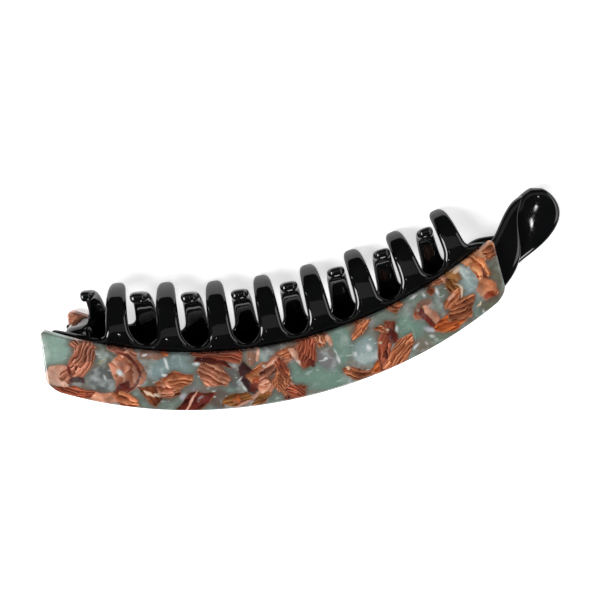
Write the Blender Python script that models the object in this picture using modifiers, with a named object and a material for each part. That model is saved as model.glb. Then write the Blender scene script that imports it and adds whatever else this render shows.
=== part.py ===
"""Banana hair clip, lying closed on its side.

Two long curved halves are hinged at the left end on one pin.  Each half is a black moulded
comb, with eight hooked teeth along its hollow edge and a flat tail at its right end, and a
thin crescent plate that is fixed to its outer face.  The lower plate lies on the ground.

The origin is on the lower plate's outer face, by the middle of its length and width.
+X runs along the clip to the tails, +Y towards the hooked teeth, +Z up, across the clip.
Sizes are in millimetres here and become metres when a mesh or an empty is made.
"""
import math

import bmesh
import bpy
from mathutils import Vector

MM = 0.001
MERGE = 0.00001

# Crescent plates
ARC_RADIUS = 114.75          # hollow edge of both plates
PLATE_WIDTH = 15.85
MIDDLE_SWELL = 0.35          # rounded edge stands out by this much at the middle
END_TAPER = 0.85             # and comes in from there by this much at TAPER_REACH from it
TAPER_REACH = 58.0
PLATE_THICK = 2.5
PLATE_BEVEL = 0.55
PLATE_STEPS = 18
GLUE_GAP = 0.3
EDGE = PLATE_WIDTH / 2       # the hollow edge's lowest point, over the middle of the width

# Combs
WALL_THICK = 2.4
WALL_DEPTH = PLATE_THICK + GLUE_GAP + WALL_THICK / 2     # middle of the wall, from the outer face
TOOTH_THICK = 2.8
TOOTH_PITCH = 14.0           # along the hollow edge
GAP_FLOOR = 0.88             # bottom of the round gaps, over the plate's hollow edge
GAP_ROUND = 4.0              # height over which a gap's bottom is round
TOOTH_TURN = math.radians(92)
NOSE = 1.3                   # straight end of a hook, past the middle of its round nose
LEAN = 0.416                 # part of the edge's slope that a tooth leans by
THICKEST = 4.2               # thickness where the thickness group is 1

# Hinge
AXIS_DEPTH = 9.383           # hinge axis to each plate's outer face
CLOSED_ANGLE = math.radians(3.532)
KNUCKLE_RADIUS = 3.7
KNUCKLE_EDGE = 0.6           # rounding of the ends that meet inside the barrel
BARREL_ROUND = 2.1           # rounding of the barrel's top
BORE_RADIUS = 1.5
PIN_RADIUS = 1.2
KNUCKLE_GAP = 0.3
BARREL_LOW = 5.0             # heights along the axis, from the middle of the plate's width
BARREL_HIGH = 22.2
LOW_KNUCKLE = 4.6
TOP_KNUCKLE = 4.9
BORE_CAP = 1.1
ROUND_SIDES = 16

# A tooth's half width, by the part of the way from the top of the round gap to the tip
TOOTH_PROFILE = (
    # (way, half width)
    (0.00, 3.30),
    (0.25, 3.05),
    (0.50, 2.85),
    (0.75, 2.60),
    (0.90, 2.45),
    (1.00, 1.55),
)

# Each tooth, from the hinge end: the height of its hook over the plate's edge, how far it
# arches across, its width against the profile, its foot's half widths, left and right, and how
# far its tip is bent further left
UPPER_TEETH = (
    # (height, reach, width, left foot, right foot, sway)
    (12.92, 9.6, 0.95, 4.6, 7.0, 0.2),
    (14.51, 10.8, 1.00, 7.0, 7.0, 0.2),
    (15.10, 10.2, 1.00, 7.0, 7.0, 0.0),
    (15.32, 9.4, 1.00, 7.0, 7.0, 0.0),
    (15.36, 8.5, 1.00, 7.0, 7.0, 0.0),
    (15.08, 7.7, 1.00, 7.0, 7.0, 0.3),
    (14.20, 6.9, 0.98, 7.0, 7.0, 0.8),
    (12.60, 6.1, 0.93, 7.0, 7.0, 0.6),
)
LOWER_TEETH = (
    # (height, reach, width, left foot, right foot, sway)
    (10.43, 9.8, 0.72, 3.2, 7.0, 0.8),
    (13.35, 10.8, 0.97, 7.0, 7.0, 0.2),
    (14.74, 10.7, 0.97, 7.0, 7.0, 0.0),
    (15.09, 9.8, 0.97, 7.0, 7.0, 0.0),
    (15.11, 9.0, 0.97, 7.0, 7.0, 0.0),
    (15.43, 8.1, 0.97, 7.0, 7.0, 0.0),
    (15.14, 7.3, 0.95, 7.0, 7.0, 0.0),
    (14.25, 6.5, 0.90, 7.0, 7.0, 0.3),
)

# Tails: sections from their upper left edge to their lower right edge.  x is from the middle
# of the plate, y from the middle of its width, depth from the outer face.
UPPER_TAIL = (
    # (upper x, upper y, lower x, lower y, upper depth, lower depth, thickness)
    (61.0, 23.8, 61.5, 8.3, 4.0, 4.0, 2.4),
    (62.4, 25.5, 64.9, 11.3, 4.0, 4.0, 2.5),
    (63.8, 28.0, 67.3, 14.4, 4.0, 4.0, 2.6),
    (65.4, 30.6, 68.9, 18.3, 4.0, 4.0, 2.6),
    (67.0, 32.5, 68.7, 22.4, 4.0, 4.0, 2.6),
    (68.3, 33.5, 68.2, 26.4, 4.0, 4.0, 2.6),
    (69.6, 34.1, 68.5, 29.9, 4.0, 4.0, 2.5),
    (70.8, 34.3, 70.0, 32.6, 4.0, 4.0, 2.2),
)
LOWER_TAIL = (
    # (upper x, upper y, lower x, lower y, upper depth, lower depth, thickness)
    (60.1, 24.0, 60.1, 10.0, 4.0, 4.0, 2.4),
    (62.4, 24.3, 63.2, 13.0, 3.9, 4.1, 2.4),
    (63.6, 24.1, 66.5, 15.8, 3.8, 4.8, 2.5),
    (63.9, 24.6, 70.3, 18.2, 3.8, 5.9, 2.8),
    (63.7, 27.0, 74.4, 21.2, 3.8, 6.3, 3.2),
    (64.1, 30.0, 77.5, 25.3, 3.8, 6.5, 3.5),
    (66.1, 32.6, 77.9, 29.3, 4.0, 6.5, 3.5),
    (68.2, 34.3, 76.1, 33.1, 4.6, 6.3, 3.3),
    (70.6, 35.6, 73.6, 35.2, 5.2, 5.8, 2.8),
)

UPPER = {
    "name": "upper",
    "side": -1,                      # its inside looks down
    "middle": 53.35,                 # hinge axis to the middle of the plate, along the half
    "hollow_ends": (-61.0, 60.4),
    "round_ends": (-62.8, 62.2),
    "corners": (1.8, 3.0, 1.4, 2.8), # hollow left, round left, hollow right, round right
    "first_tooth": -44.32,           # along the hollow edge, from the middle of the plate
    "teeth": UPPER_TEETH,
    "left_steps": ((-62.4, 0.0), (-58.6, 0.35), (-54.4, 0.6)),
    "left_floor": 0.7,               # top of the wall beside the first tooth, over the edge
    "right_steps": ((62.4, -1.4),),
    "tail": UPPER_TAIL,
}
LOWER = {
    "name": "lower",
    "side": 1,                       # its inside looks up
    "middle": 56.6,
    "hollow_ends": (-60.9, 55.9),
    "round_ends": (-62.6, 58.6),
    "corners": (2.6, 3.0, 2.4, 2.8),
    "first_tooth": -54.44,
    "teeth": LOWER_TEETH,
    "left_steps": ((-62.9, -3.2), (-60.6, -3.0)),
    "left_floor": -2.8,
    "right_steps": ((54.5, 2.5), (58.5, 2.4)),
    "tail": LOWER_TAIL,
}

# Rows of the wall, from the gaps down to the rounded edge: part of the wall's height
WALL_ROWS = (0.0, 0.18, 0.82, 1.0)
TAIL_SWELL = (0.6, 1.1, 1.1, 0.6)    # share of a tail's thickness in these rows
WALL_INSET = 0.9             # wall's outer edge inside the plate's outer edge
GAP_TURNS = (36, 68, 90)     # degrees round a gap's bottom, from its lowest point
HOOK_ROWS = 4


def smooth(value):
    """Even step from 0 to 1 with level ends."""
    return value * value * (3 - 2 * value)


def edge_point(along, height):
    """Point (x, y) at an arc length along the hollow edge, and square to it above the edge."""
    angle = along / ARC_RADIUS
    radius = ARC_RADIUS - height
    return (radius * math.sin(angle), EDGE + ARC_RADIUS - radius * math.cos(angle))


def hollow_y(x):
    """Height of a plate's hollow edge at x from its middle."""
    return EDGE + ARC_RADIUS - math.sqrt(ARC_RADIUS ** 2 - x * x)


def round_y(x):
    """Height of a plate's rounded edge at x from its middle."""
    radius = ARC_RADIUS + PLATE_WIDTH + MIDDLE_SWELL - END_TAPER * (x / TAPER_REACH) ** 4
    return EDGE + ARC_RADIUS - math.sqrt(radius ** 2 - x * x)


def tooth_width(way):
    """Half width of a tooth between the round gap (0) and the tip (1)."""
    for (low, low_width), (high, high_width) in zip(TOOTH_PROFILE, TOOTH_PROFILE[1:]):
        if way <= high:
            break
    return low_width + (high_width - low_width) * (way - low) / (high - low)


def make_object(name, mesh_data, collection, material=None):
    """New smooth object from a bmesh, with one material."""
    mesh = bpy.data.meshes.new(name)
    for face in mesh_data.faces:
        face.smooth = True
    mesh_data.to_mesh(mesh)
    mesh_data.free()
    thing = bpy.data.objects.new(name, mesh)
    collection.objects.link(thing)
    if material:
        mesh.materials.append(material)
    return thing


def make_material(name, colour, roughness, coat=0.0):
    """Principled material with one colour."""
    material = bpy.data.materials.new(name)
    material.use_nodes = True
    shader = material.node_tree.nodes["Principled BSDF"]
    shader.inputs["Base Color"].default_value = (*colour, 1.0)
    shader.inputs["Roughness"].default_value = roughness
    shader.inputs["Metallic"].default_value = 0.0
    shader.inputs["Coat Weight"].default_value = coat
    return material


def half_point(half, x, y, depth):
    """A place on one half, in metres, from the hinge axis."""
    height = half["side"] * (depth - AXIS_DEPTH)
    return Vector(((x + half["middle"]) * MM, y * MM, height * MM))


def make_plate(half, collection, material, parent):
    """Crescent plate: a strip between two arcs, thickened, with rounded edges and corners."""
    data = bmesh.new()
    hollow = []
    round_side = []
    for step in range(PLATE_STEPS + 1):
        way = step / PLATE_STEPS
        for ends, edge_y, side in ((half["hollow_ends"], hollow_y, hollow),
                                   (half["round_ends"], round_y, round_side)):
            x = ends[0] + (ends[1] - ends[0]) * way
            side.append(data.verts.new(half_point(half, x, edge_y(x), 0)))
    for step in range(PLATE_STEPS):
        data.faces.new((round_side[step], round_side[step + 1], hollow[step + 1], hollow[step]))
    corners = (hollow[0], round_side[0], hollow[-1], round_side[-1])
    for corner, radius in zip(corners, half["corners"]):
        bmesh.ops.bevel(data, geom=[corner], offset=radius * MM, offset_type="OFFSET",
                        affect="VERTICES", segments=4, profile=0.5)
    plate = make_object("plate_" + half["name"], data, collection, material)
    solidify = plate.modifiers.new("Thickness", "SOLIDIFY")
    solidify.thickness = PLATE_THICK * MM
    solidify.offset = half["side"]
    bevel = plate.modifiers.new("Rounded edges", "BEVEL")
    bevel.width = PLATE_BEVEL * MM
    bevel.segments = 2
    bevel.limit_method = "ANGLE"
    bevel.angle_limit = math.radians(50)
    bevel.harden_normals = True
    plate.parent = parent
    return plate


def comb_columns(half):
    """Columns of the wall: (place along the edge, height of its top over the edge)."""
    columns = list(half["left_steps"])
    for index, (_, _, _, left_foot, right_foot, _) in enumerate(half["teeth"]):
        middle = half["first_tooth"] + index * TOOTH_PITCH
        if index == 0:
            columns.append((middle - left_foot, half["left_floor"]))
        columns.append((middle, GAP_FLOOR))
        columns.append((middle + right_foot, GAP_FLOOR))
    return columns


def comb_sheet(half):
    """Middle surface of a comb: wall, hooked teeth and tail, with its thickness as a group."""
    data = bmesh.new()
    layer = data.verts.layers.deform.verify()

    def add(x, y, depth, thickness):
        vertex = data.verts.new(half_point(half, x, y, depth))
        vertex[layer][0] = thickness / THICKEST
        return vertex

    def wall_column(along, top):
        column = []
        x, upper_y = edge_point(along, top)
        lower_y = round_y(x) + WALL_INSET
        for part in WALL_ROWS:
            column.append(add(x, upper_y + (lower_y - upper_y) * part, WALL_DEPTH, WALL_THICK))
        return column

    columns = [wall_column(along, top) for along, top in comb_columns(half)]
    columns += [wall_column(along, top) for along, top in half["right_steps"]]
    for upper_x, upper_y, lower_x, lower_y, upper_depth, lower_depth, thickness in half["tail"]:
        column = []
        for part, swell in zip(WALL_ROWS, TAIL_SWELL):
            column.append(add(upper_x + (lower_x - upper_x) * part,
                              upper_y + (lower_y - upper_y) * part,
                              upper_depth + (lower_depth - upper_depth) * smooth(part),
                              thickness * swell))
        columns.append(column)
    for first, second in zip(columns, columns[1:]):
        for row in range(len(WALL_ROWS) - 1):
            data.faces.new((first[row + 1], second[row + 1], second[row], first[row]))

    first_tooth = len(half["left_steps"])
    for index, tooth in enumerate(half["teeth"]):
        start = first_tooth + 2 * index
        row = [columns[start + step][0] for step in range(3)]
        middle = half["first_tooth"] + index * TOOTH_PITCH
        for new_row in tooth_rows(middle, *tooth):
            above = [add(*place) for place in new_row]
            for step in range(2):
                data.faces.new((row[step], row[step + 1], above[step + 1], above[step]))
            row = above
    bmesh.ops.recalc_face_normals(data, faces=data.faces)
    return data


def tooth_rows(middle, height, reach, width, left_foot, right_foot, sway):
    """Rows across one tooth, from its round gaps up and over to its nose."""
    climb = height - GAP_FLOOR
    lean = LEAN * middle / ARC_RADIUS + sway / climb
    x_root, y_root = edge_point(middle, GAP_FLOOR)
    start_turn = math.asin(GAP_ROUND / climb)
    neck = tooth_width(0) * width
    stations = []
    for degrees in GAP_TURNS:
        turn = math.radians(degrees)
        rise = GAP_ROUND * (1 - math.cos(turn))
        left = left_foot - (left_foot - neck) * math.sin(turn)
        right = right_foot - (right_foot - neck) * math.sin(turn)
        stations.append((math.asin(rise / climb), left, right, 0.0))
    for step in range(1, HOOK_ROWS + 1):
        turn = start_turn + (TOOTH_TURN - start_turn) * step / HOOK_ROWS
        wide = tooth_width(step / (HOOK_ROWS + 0.6)) * width
        stations.append((turn, wide, wide, 0.0))
    wide = tooth_width(1.0) * width
    stations.append((TOOTH_TURN, wide, wide, NOSE))

    rows = []
    for turn, left, right, straight in stations:
        rise = climb * math.sin(turn) + straight * math.cos(TOOTH_TURN)
        depth = WALL_DEPTH + reach * (1 - math.cos(turn)) + straight * math.sin(TOOTH_TURN)
        upright = smooth(min(rise / GAP_ROUND, 1.0))
        thickness = WALL_THICK + (TOOTH_THICK - WALL_THICK) * upright
        row = []
        for offset in (-left, 0.0, right):
            x_edge, y_edge = edge_point(middle + offset, GAP_FLOOR)
            x_straight = x_root + offset * math.cos(lean)
            y_straight = y_root + offset * math.sin(lean)
            x = x_edge + (x_straight - x_edge) * upright - rise * math.sin(lean)
            y = y_edge + (y_straight - y_edge) * upright + rise * math.cos(lean)
            row.append((x, y, depth, thickness))
        rows.append(row)
    return rows


def make_knuckle(half, low, high, guides, parent):
    """Rounded block round the hinge axis that runs back into the half's wall."""
    reach = AXIS_DEPTH - WALL_DEPTH
    outline = []
    for step in range(ROUND_SIDES // 2 + 1):
        angle = math.pi * step / (ROUND_SIDES // 2)
        outline.append((KNUCKLE_RADIUS * math.cos(angle), KNUCKLE_RADIUS * math.sin(angle)))
    outline += [(-KNUCKLE_RADIUS, -reach), (KNUCKLE_RADIUS, -reach)]
    data = bmesh.new()
    ring = [data.verts.new((x * MM, low * MM, half["side"] * z * MM)) for x, z in outline]
    face = data.faces.new(ring)
    grown = bmesh.ops.extrude_face_region(data, geom=[face])
    top = [item for item in grown["geom"] if isinstance(item, bmesh.types.BMVert)]
    bmesh.ops.translate(data, verts=top, vec=(0, (high - low) * MM, 0))
    bmesh.ops.recalc_face_normals(data, faces=data.faces)
    for end in (low, high):
        rim = [edge for edge in data.edges
               if all(abs(vertex.co.y - end * MM) < MERGE for vertex in edge.verts)
               and any(abs(vertex.co.z) < (reach - 0.1) * MM for vertex in edge.verts)]
        rounding = BARREL_ROUND if end == BARREL_HIGH else KNUCKLE_EDGE
        bmesh.ops.bevel(data, geom=rim, offset=rounding * MM, offset_type="OFFSET",
                        segments=2, profile=0.5, affect="EDGES")
    knuckle = make_object("knuckle_guide", data, guides)
    knuckle.hide_render = True
    knuckle.display_type = "WIRE"
    knuckle.parent = parent
    return knuckle


def make_rod(name, radius, low, high, collection, parent, material=None):
    """Round rod on the hinge axis, between two heights."""
    data = bmesh.new()
    bmesh.ops.create_cone(data, cap_ends=True, segments=ROUND_SIDES, radius1=radius * MM,
                          radius2=radius * MM, depth=(high - low) * MM)
    rod = make_object(name, data, collection, material)
    for face in rod.data.polygons:
        face.use_smooth = len(face.vertices) == 4
    rod.rotation_euler = (math.radians(90), 0, 0)
    rod.location = (0, (low + high) / 2 * MM, 0)
    rod.parent = parent
    return rod


def add_boolean(target, other, operation):
    """Join another solid to the target or cut it out."""
    boolean = target.modifiers.new(operation.title(), "BOOLEAN")
    boolean.operation = operation
    boolean.solver = "EXACT"
    boolean.object = other


def make_comb(half, knuckles, bore, collection, guides, material, parent):
    """Moulded comb: rounded sheet joined to its hinge knuckles, with the pin's bore."""
    comb = make_object("comb_" + half["name"], comb_sheet(half), collection, material)
    comb.vertex_groups.new(name="thickness")
    comb.parent = parent
    solidify = comb.modifiers.new("Thickness", "SOLIDIFY")
    solidify.thickness = THICKEST * MM
    solidify.offset = 0
    solidify.use_even_offset = True
    solidify.vertex_group = "thickness"
    soft = comb.modifiers.new("Rounded", "SUBSURF")
    soft.levels = 1
    soft.render_levels = 1
    cutter = make_rod("bore_cutter", BORE_RADIUS, *bore, guides, parent)
    cutter.hide_render = True
    cutter.display_type = "WIRE"
    for low, high in knuckles:
        knuckle = make_knuckle(half, low, high, guides, parent)
        add_boolean(knuckle, cutter, "DIFFERENCE")
        add_boolean(comb, knuckle, "UNION")
    return comb


def make_frame(name, angle, collection):
    """Empty on the hinge axis that carries one half."""
    frame = bpy.data.objects.new(name, None)
    frame.location = (-LOWER["middle"] * MM, 0, AXIS_DEPTH * MM)
    frame.rotation_euler = (0, angle, 0)
    collection.objects.link(frame)
    return frame


def build():
    """The whole clip."""
    for thing in list(bpy.data.objects):
        bpy.data.objects.remove(thing, do_unlink=True)
    clip = bpy.data.collections.new("banana_hair_clip")
    guides = bpy.data.collections.new("guides")
    bpy.context.scene.collection.children.link(clip)
    bpy.context.scene.collection.children.link(guides)

    black = make_material("black_plastic", (0.012, 0.012, 0.014), 0.12, 1.0)
    acetate = make_material("mottled_acetate", (0.45, 0.52, 0.47), 0.15, 1.0)
    steel = make_material("pin_steel", (0.55, 0.55, 0.56), 0.3)

    lower_frame = make_frame("lower_frame", 0.0, clip)
    upper_frame = make_frame("upper_frame", CLOSED_ANGLE, clip)
    make_plate(LOWER, clip, acetate, lower_frame)
    make_plate(UPPER, clip, acetate, upper_frame)

    low_top = BARREL_LOW + LOW_KNUCKLE
    high_low = BARREL_HIGH - TOP_KNUCKLE
    lower_knuckles = ((BARREL_LOW, low_top), (high_low, BARREL_HIGH))
    upper_knuckles = ((low_top + KNUCKLE_GAP, high_low - KNUCKLE_GAP),)
    bore = (BARREL_LOW - 1.0, BARREL_HIGH - BORE_CAP)
    make_comb(LOWER, lower_knuckles, bore, clip, guides, black, lower_frame)
    make_comb(UPPER, upper_knuckles, bore, clip, guides, black, upper_frame)
    make_rod("hinge_pin", PIN_RADIUS, BARREL_LOW + KNUCKLE_GAP, bore[1] - KNUCKLE_GAP, clip,
             lower_frame, steel)


build()
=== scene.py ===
import math

import bmesh
import bpy
import numpy as np
from mathutils import Matrix, Vector


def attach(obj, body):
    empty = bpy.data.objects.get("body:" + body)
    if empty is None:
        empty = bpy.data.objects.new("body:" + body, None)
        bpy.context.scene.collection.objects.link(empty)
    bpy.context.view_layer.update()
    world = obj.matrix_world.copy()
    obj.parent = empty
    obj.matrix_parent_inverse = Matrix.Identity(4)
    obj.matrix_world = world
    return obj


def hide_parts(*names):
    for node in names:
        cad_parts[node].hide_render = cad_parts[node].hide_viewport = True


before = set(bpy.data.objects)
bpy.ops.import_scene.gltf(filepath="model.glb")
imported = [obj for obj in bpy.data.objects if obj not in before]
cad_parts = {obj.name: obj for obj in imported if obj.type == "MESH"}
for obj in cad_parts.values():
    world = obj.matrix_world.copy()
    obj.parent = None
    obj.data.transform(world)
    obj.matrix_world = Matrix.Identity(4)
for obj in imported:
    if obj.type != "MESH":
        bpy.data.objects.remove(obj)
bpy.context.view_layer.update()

# Sizes shared with the CAD, in millimetres
MM = 0.001
ARC_RADIUS = 114.75
PLATE_WIDTH = 15.85
MIDDLE_SWELL = 0.35
END_TAPER = 0.85
TAPER_REACH = 58.0
PLATE_THICK = 2.5
PLATE_BEVEL = 0.55
GLUE_GAP = 0.3
EDGE = PLATE_WIDTH / 2
WALL_THICK = 2.4
WALL_DEPTH = PLATE_THICK + GLUE_GAP + WALL_THICK / 2
WALL_INSET = 0.9
TOOTH_THICK = 2.8
TOOTH_PITCH = 14.0
GAP_FLOOR = 0.88
GAP_ROUND = 4.0
NOSE = 1.3
THICKEST = 4.2
AXIS_DEPTH = 9.383
KNUCKLE_RADIUS = 3.7
KNUCKLE_EDGE = 0.6
BARREL_ROUND = 2.1
BARREL_LOW = 5.0
BARREL_HIGH = 22.2
LOW_KNUCKLE = 4.6
TOP_KNUCKLE = 4.9
KNUCKLE_GAP = 0.3

# Turns, shares and rows shared with the CAD.  A tooth's nose counts as part of a hook row.
TOOTH_TURN = math.radians(92)
CLOSED_ANGLE = math.radians(3.532)
LEAN = 0.416
WALL_ROWS = (0.0, 0.18, 0.82, 1.0)
TAIL_SWELL = (0.6, 1.1, 1.1, 0.6)
GAP_TURNS = (36, 68, 90)
HOOK_ROWS = 4
NOSE_ROWS = 0.6

# How finely the scene's own meshes are cut, with lengths in millimetres.  A knuckle's edges stay
# sharp within KNUCKLE_ROOT of the wall.
COMB_LEVEL = 3
COMB_SHARP = 38
KNUCKLE_SIDES = 48
KNUCKLE_EDGE_STEPS = 6
KNUCKLE_ROOT = 0.1
PLATE_LENGTH = 120.0
PLATE_RINGS = 560
PLATE_END = 3.0
PLATE_END_RINGS = 14
PLATE_FRONT_ROWS = 88
PLATE_BACK_ROWS = 24
PLATE_EDGE_STEPS = 6
PLATE_SHARP = 40
LEAST_BEVEL = 0.01
SAME_PLACE = 0.001

TOOTH_PROFILE = (
    # (way, half width)
    (0.00, 3.30),
    (0.25, 3.05),
    (0.50, 2.85),
    (0.75, 2.60),
    (0.90, 2.45),
    (1.00, 1.55),
)
UPPER_TEETH = (
    # (height, reach, width, left foot, right foot, sway)
    (12.92, 9.6, 0.95, 4.6, 7.0, 0.2),
    (14.51, 10.8, 1.00, 7.0, 7.0, 0.2),
    (15.10, 10.2, 1.00, 7.0, 7.0, 0.0),
    (15.32, 9.4, 1.00, 7.0, 7.0, 0.0),
    (15.36, 8.5, 1.00, 7.0, 7.0, 0.0),
    (15.08, 7.7, 1.00, 7.0, 7.0, 0.3),
    (14.20, 6.9, 0.98, 7.0, 7.0, 0.8),
    (12.60, 6.1, 0.93, 7.0, 7.0, 0.6),
)
LOWER_TEETH = (
    # (height, reach, width, left foot, right foot, sway)
    (10.43, 9.8, 0.72, 3.2, 7.0, 0.8),
    (13.35, 10.8, 0.97, 7.0, 7.0, 0.2),
    (14.74, 10.7, 0.97, 7.0, 7.0, 0.0),
    (15.09, 9.8, 0.97, 7.0, 7.0, 0.0),
    (15.11, 9.0, 0.97, 7.0, 7.0, 0.0),
    (15.43, 8.1, 0.97, 7.0, 7.0, 0.0),
    (15.14, 7.3, 0.95, 7.0, 7.0, 0.0),
    (14.25, 6.5, 0.90, 7.0, 7.0, 0.3),
)
UPPER_TAIL = (
    # (upper x, upper y, lower x, lower y, upper depth, lower depth, thickness)
    (61.0, 23.8, 61.5, 8.3, 4.0, 4.0, 2.4),
    (62.4, 25.5, 64.9, 11.3, 4.0, 4.0, 2.5),
    (63.8, 28.0, 67.3, 14.4, 4.0, 4.0, 2.6),
    (65.4, 30.6, 68.9, 18.3, 4.0, 4.0, 2.6),
    (67.0, 32.5, 68.7, 22.4, 4.0, 4.0, 2.6),
    (68.3, 33.5, 68.2, 26.4, 4.0, 4.0, 2.6),
    (69.6, 34.1, 68.5, 29.9, 4.0, 4.0, 2.5),
    (70.8, 34.3, 70.0, 32.6, 4.0, 4.0, 2.2),
)
LOWER_TAIL = (
    # (upper x, upper y, lower x, lower y, upper depth, lower depth, thickness)
    (60.1, 24.0, 60.1, 10.0, 4.0, 4.0, 2.4),
    (62.4, 24.3, 63.2, 13.0, 3.9, 4.1, 2.4),
    (63.6, 24.1, 66.5, 15.8, 3.8, 4.8, 2.5),
    (63.9, 24.6, 70.3, 18.2, 3.8, 5.9, 2.8),
    (63.7, 27.0, 74.4, 21.2, 3.8, 6.3, 3.2),
    (64.1, 30.0, 77.5, 25.3, 3.8, 6.5, 3.5),
    (66.1, 32.6, 77.9, 29.3, 4.0, 6.5, 3.5),
    (68.2, 34.3, 76.1, 33.1, 4.6, 6.3, 3.3),
    (70.6, 35.6, 73.6, 35.2, 5.2, 5.8, 2.8),
)
UPPER = {
    "name": "upper",
    "side": -1,
    "middle": 53.35,
    "hollow_ends": (-61.0, 60.4),
    "round_ends": (-62.8, 62.2),
    "corners": (1.8, 3.0, 1.4, 2.8),
    "first_tooth": -44.32,
    "teeth": UPPER_TEETH,
    "left_steps": ((-62.4, 0.0), (-58.6, 0.35), (-54.4, 0.6)),
    "left_floor": 0.7,
    "right_steps": ((62.4, -1.4),),
    "tail": UPPER_TAIL,
    "angle": CLOSED_ANGLE,
}
LOWER = {
    "name": "lower",
    "side": 1,
    "middle": 56.6,
    "hollow_ends": (-60.9, 55.9),
    "round_ends": (-62.6, 58.6),
    "corners": (2.6, 3.0, 2.4, 2.8),
    "first_tooth": -54.44,
    "teeth": LOWER_TEETH,
    "left_steps": ((-62.9, -3.2), (-60.6, -3.0)),
    "left_floor": -2.8,
    "right_steps": ((54.5, 2.5), (58.5, 2.4)),
    "tail": LOWER_TAIL,
    "angle": 0.0,
}
HINGE = Vector((-LOWER["middle"] * MM, 0, AXIS_DEPTH * MM))

# Kinds of chips: display colours of the light and the dark lines, how soft the edge is (mm), and
# whether the chip is a hard shard with straight sides or else a soft cloud
KINDS = {
    "mint": ((142, 174, 158), (112, 140, 128), 2.2, False),
    "pale_mint": ((170, 199, 185), (138, 166, 154), 2.2, False),
    "pale": ((214, 228, 218), (170, 196, 182), 1.4, False),
    "grey_green": ((130, 142, 130), (108, 118, 108), 2.0, False),
    "grey": ((122, 126, 122), (92, 94, 94), 2.0, False),
    "pink_brown": ((176, 132, 110), (136, 98, 82), 1.0, False),
    "grey_pink": ((146, 128, 118), (124, 106, 98), 1.6, False),
    "blue_pearl": ((160, 182, 180), (108, 128, 128), 1.8, False),
    "mint_grey": ((138, 154, 142), (110, 124, 114), 1.8, False),
    "blue_grey": ((148, 169, 165), (118, 138, 136), 2.0, False),
    "lilac": ((150, 146, 148), (118, 118, 118), 3.0, False),
    "grey_brown": ((122, 108, 98), (96, 84, 78), 1.8, False),
    "pearl": ((190, 208, 206), (122, 146, 144), 1.8, False),
    "olive_mint": ((136, 148, 128), (112, 124, 106), 1.8, False),
    "olive_grey": ((126, 126, 108), (104, 104, 90), 0.9, False),
    "peach": ((248, 202, 178), (184, 118, 90), 0.3, True),
    "brown": ((164, 98, 64), (62, 30, 18), 0.35, True),
    "rust": ((238, 166, 138), (58, 20, 14), 0.3, True),
    "dark_rust": ((200, 114, 86), (42, 16, 12), 0.3, True),
    "maroon": ((120, 48, 38), (40, 15, 13), 0.4, True),
    "plum": ((76, 46, 50), (48, 30, 36), 0.6, True),
    "copper": ((240, 162, 118), (84, 34, 16), 0.3, True),
    "salmon": ((246, 182, 150), (116, 54, 36), 0.3, True),
    "orange": ((220, 124, 68), (98, 40, 16), 0.35, True),
    "red": ((140, 60, 52), (96, 36, 32), 0.9, False),
    "pink": ((248, 200, 180), (180, 120, 100), 0.3, True),
    "ochre": ((194, 138, 82), (70, 40, 20), 0.4, True),
    "orange_red": ((176, 82, 46), (124, 48, 26), 0.5, True),
    "peach_orange": ((250, 182, 130), (136, 62, 34), 0.3, True),
    "plum_black": ((66, 38, 40), (30, 16, 20), 0.5, True),
    "cream": ((238, 220, 196), (206, 180, 150), 0.25, True),
    # Painted glints of light on the pearl: white_glint, pearl_glint and yellow_glint
    "white_glint": ((255, 255, 255), (214, 224, 222), 1.0, False),
    "pearl_glint": ((222, 222, 230), (160, 162, 172), 0.9, False),
    "yellow_glint": ((190, 184, 120), (166, 158, 98), 0.2, True),
}
CALM_KINDS = ("mint", "pale_mint", "mint_grey", "olive_mint", "olive_grey", "white_glint")

# Display colours of the ground and of what lies round the chips: the painted shadow (halo) round
# the wide chips, and the rims.  EXPOSURE darkens every surface so that it shows its display colour
# under the studio's light.
GROUND_GREEN = (136, 160, 150)
GROUND_BROWN = (146, 136, 122)
HALO_SHADOW = (116, 84, 70)
DARK_RIM = (70, 32, 24)
LIGHT_RIM = (214, 160, 132)
EXPOSURE = 0.76

# The pearl of each place, which sets how strongly the painted pearly sheen, shadows and glints show
# there, and also tells the material what it is: hard chips stay under HARD_BELOW, and those with
# lines under LINED_BELOW
LINED_PEARL = 0.0
UNLINED_PEARL = 0.15
CALM_PEARL = 0.4
GROUND_PEARL = 0.6
CLOUD_PEARL = 1.0
LINED_BELOW = 0.05
HARD_BELOW = 0.3

# Sine waves over the sheet
WARP_X = (
    # (size, x rate, y rate, start)
    (0.14, 1.1, 0.7, 1.3),
    (0.05, 3.1, -2.3, 0.0),
)
WARP_Y = (
    # (size, x rate, y rate, start)
    (0.14, -0.9, 1.3, 0.4),
    (0.05, 2.6, 2.7, 2.0),
)
GROUND_DRIFT = (
    # (size, x rate, y rate, start)
    (0.28, 0.31, 0.5, 0.0),
    (0.22, -0.43, 0.55, 2.0),
)
GROUND_PHASE = (
    # (size, x rate, y rate, start)
    (0.25, 0.9, 0.6, 0.0),
)

# How the pattern moves with the depth in the sheet, and how the ground and the painted shadow
# round the chips (halos) are mixed
DEPTH_SHIFT_X = 0.25
DEPTH_SHIFT_Y = -0.15
GROUND_DARK = 0.78
HALO_SHADOW_DARK = 0.7
HALO_SHADOW_REACH = 1.5
HALO_SHADOW_FADE = 1.6
HALO_SHADOW_DEPTH = 0.5
HALO_SHADOW_ON_CHIP = 0.15

# Hard chips: their uneven straight sides, how much they are grown past their size, and which are
# wide enough for a painted shadow round them (halo) and a fold with painted shade
SHARD_SIDES = 6
SHARD_TURN = 20
SHARD_REACH = 0.98
SHARD_UNEVEN = 0.16
FAR_INSIDE = 99.0
GROWTH = 1.2
WIDE_CHIP = 0.7
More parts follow.
